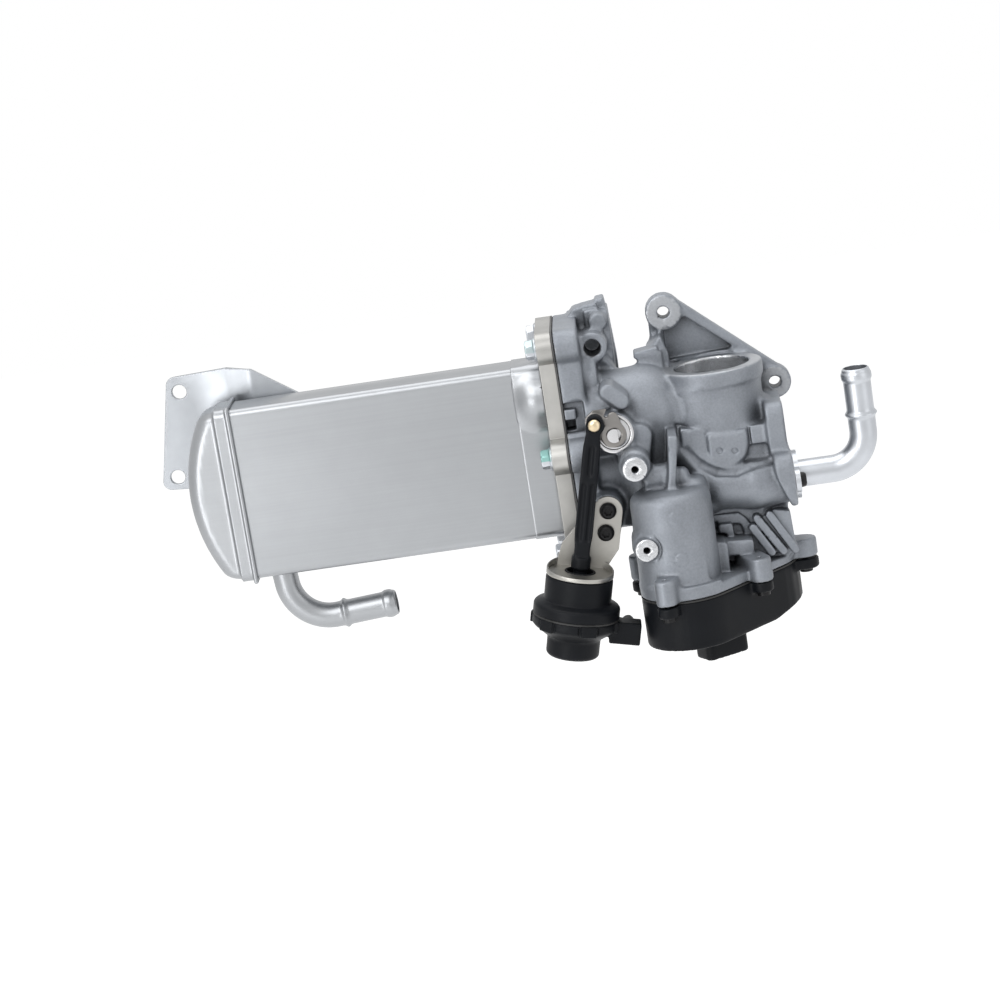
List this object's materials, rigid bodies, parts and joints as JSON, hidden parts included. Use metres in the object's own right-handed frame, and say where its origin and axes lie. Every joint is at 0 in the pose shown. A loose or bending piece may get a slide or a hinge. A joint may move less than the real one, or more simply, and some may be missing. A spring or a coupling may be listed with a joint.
{
  "type": "egr cooler with valve module",
  "caption": "Flat stainless exhaust gas cooler bolted to a cast valve housing with a vacuum-driven bypass flap, a geared poppet valve and bent coolant pipes.",
  "frame": {"origin": "centre of the round gas port's top face", "axes": "+X along the cooler towards the coolant inlet pipe, +Y away from the actuator side, +Z out of the gas port"},
  "size_m": [0.4226, 0.1327, 0.2012],
  "materials": {
    "stainless_sheet": "brazed stainless sheet with heat tint and scuffs",
    "flange_steel": "machined steel plate",
    "cast_aluminium": "die-cast, satin, blasted",
    "zinc_steel": "zinc-plated",
    "black_plastic": "moulded, fine grain",
    "black_screw": "black oxide",
    "rubber_black": "matt",
    "gasket_grey": "coated sheet",
    "yellow_metal": "yellow passivated",
    "bright_steel": "turned",
    "gear_plastic": "moulded"
  },
  "bodies": {
    "housing": {"cooler_casing": "stainless_sheet", "end_cap": "stainless_sheet", "gas_header": "stainless_sheet", "cooler_flange": "flange_steel", "tube_plate_left": "stainless_sheet", "tube_plate_right": "stainless_sheet", "gas_tubes": "stainless_sheet", "pass_divider": "stainless_sheet", "coolant_baffle": "stainless_sheet", "coolant_feed_tube": "stainless_sheet", "coolant_outlet_pipe": "stainless_sheet", "mounting_bracket": "zinc_steel", "cooler_gasket": "gasket_grey", "flange_bolts": "zinc_steel", "valve_housing": "cast_aluminium", "flap_bushing": "yellow_metal", "flap_seal": "rubber_black", "actuator_bracket": "zinc_steel", "bracket_screws": "black_screw", "actuator_upper_shell": "black_plastic", "actuator_lower_shell": "black_plastic", "actuator_diaphragm": "rubber_black", "actuator_spring": "bright_steel", "valve_seat": "bright_steel", "stem_guide": "yellow_metal", "stem_seal": "rubber_black", "pin_guide": "bright_steel", "motor_can": "zinc_steel", "idler_pin": "bright_steel", "return_spring": "bright_steel", "gear_cover": "black_plastic", "connector_pins": "yellow_metal", "cover_gasket": "rubber_black", "cover_screws": "black_screw", "coolant_inlet_pipe": "zinc_steel", "pipe_plate": "zinc_steel", "pipe_screws": "black_screw", "pipe_o_ring": "rubber_black"},
    "flap": {"flap_shaft": "bright_steel", "flap_plate": "bright_steel", "flap_lever": "zinc_steel", "ball_pin": "yellow_metal"},
    "rod": {"actuator_rod": "black_plastic", "actuator_piston": "zinc_steel"},
    "valve": {"valve_poppet": "bright_steel", "cross_pin": "bright_steel"},
    "drive": {"drive_gear": "gear_plastic"},
    "idler": {"idler_gear": "gear_plastic"},
    "rotor": {"motor_rotor": "bright_steel"}
  },
  "joints": [
    {"name": "flap_turn", "type": "hinge", "parent": "housing", "child": "flap", "pos_m": [-0.0608, -0.03, -0.0241], "axis": [0, -1, 0], "range_deg": [0, 55], "stiffness_Nm_per_rad": 0.25, "springref_deg": -45.84, "deforming": ["actuator_spring", "actuator_diaphragm"]},
    {"name": "rod_pivot", "type": "hinge", "parent": "flap", "child": "rod", "pos_m": [-0.07106, -0.0505, -0.01502], "axis": [0, -1, 0], "range_deg": [-55, 0]},
    {"name": "drive_turn", "type": "hinge", "parent": "housing", "child": "drive", "pos_m": [0, 0, -0.135], "axis": [0, 0, 1], "range_deg": [0, 60], "stiffness_Nm_per_rad": 0.08, "springref_deg": -45.84},
    {"name": "idler_spin", "type": "hinge", "parent": "housing", "child": "idler", "pos_m": [-0.03055, -0.01904, -0.135], "axis": [0, 0, 1], "range_deg": [-300.5, 0]},
    {"name": "rotor_spin", "type": "hinge", "parent": "housing", "child": "rotor", "pos_m": [-0.032, -0.045, -0.12], "axis": [0, 0, 1], "range_deg": [0, 1001]},
    {"name": "valve_lift", "type": "slide", "parent": "housing", "child": "valve", "axis": [0, 0, 1], "range_m": [0, 0.00801]}
  ],
  "couplings": [
    {"joint": "rod_pivot", "follows": "flap_turn", "ratio": -1},
    {"joint": "idler_spin", "follows": "drive_turn", "ratio": -5},
    {"joint": "rotor_spin", "follows": "drive_turn", "ratio": 16.667},
    {"joint": "valve_lift", "follows": "drive_turn", "m_per_rad": 0.0076394}
  ]
}
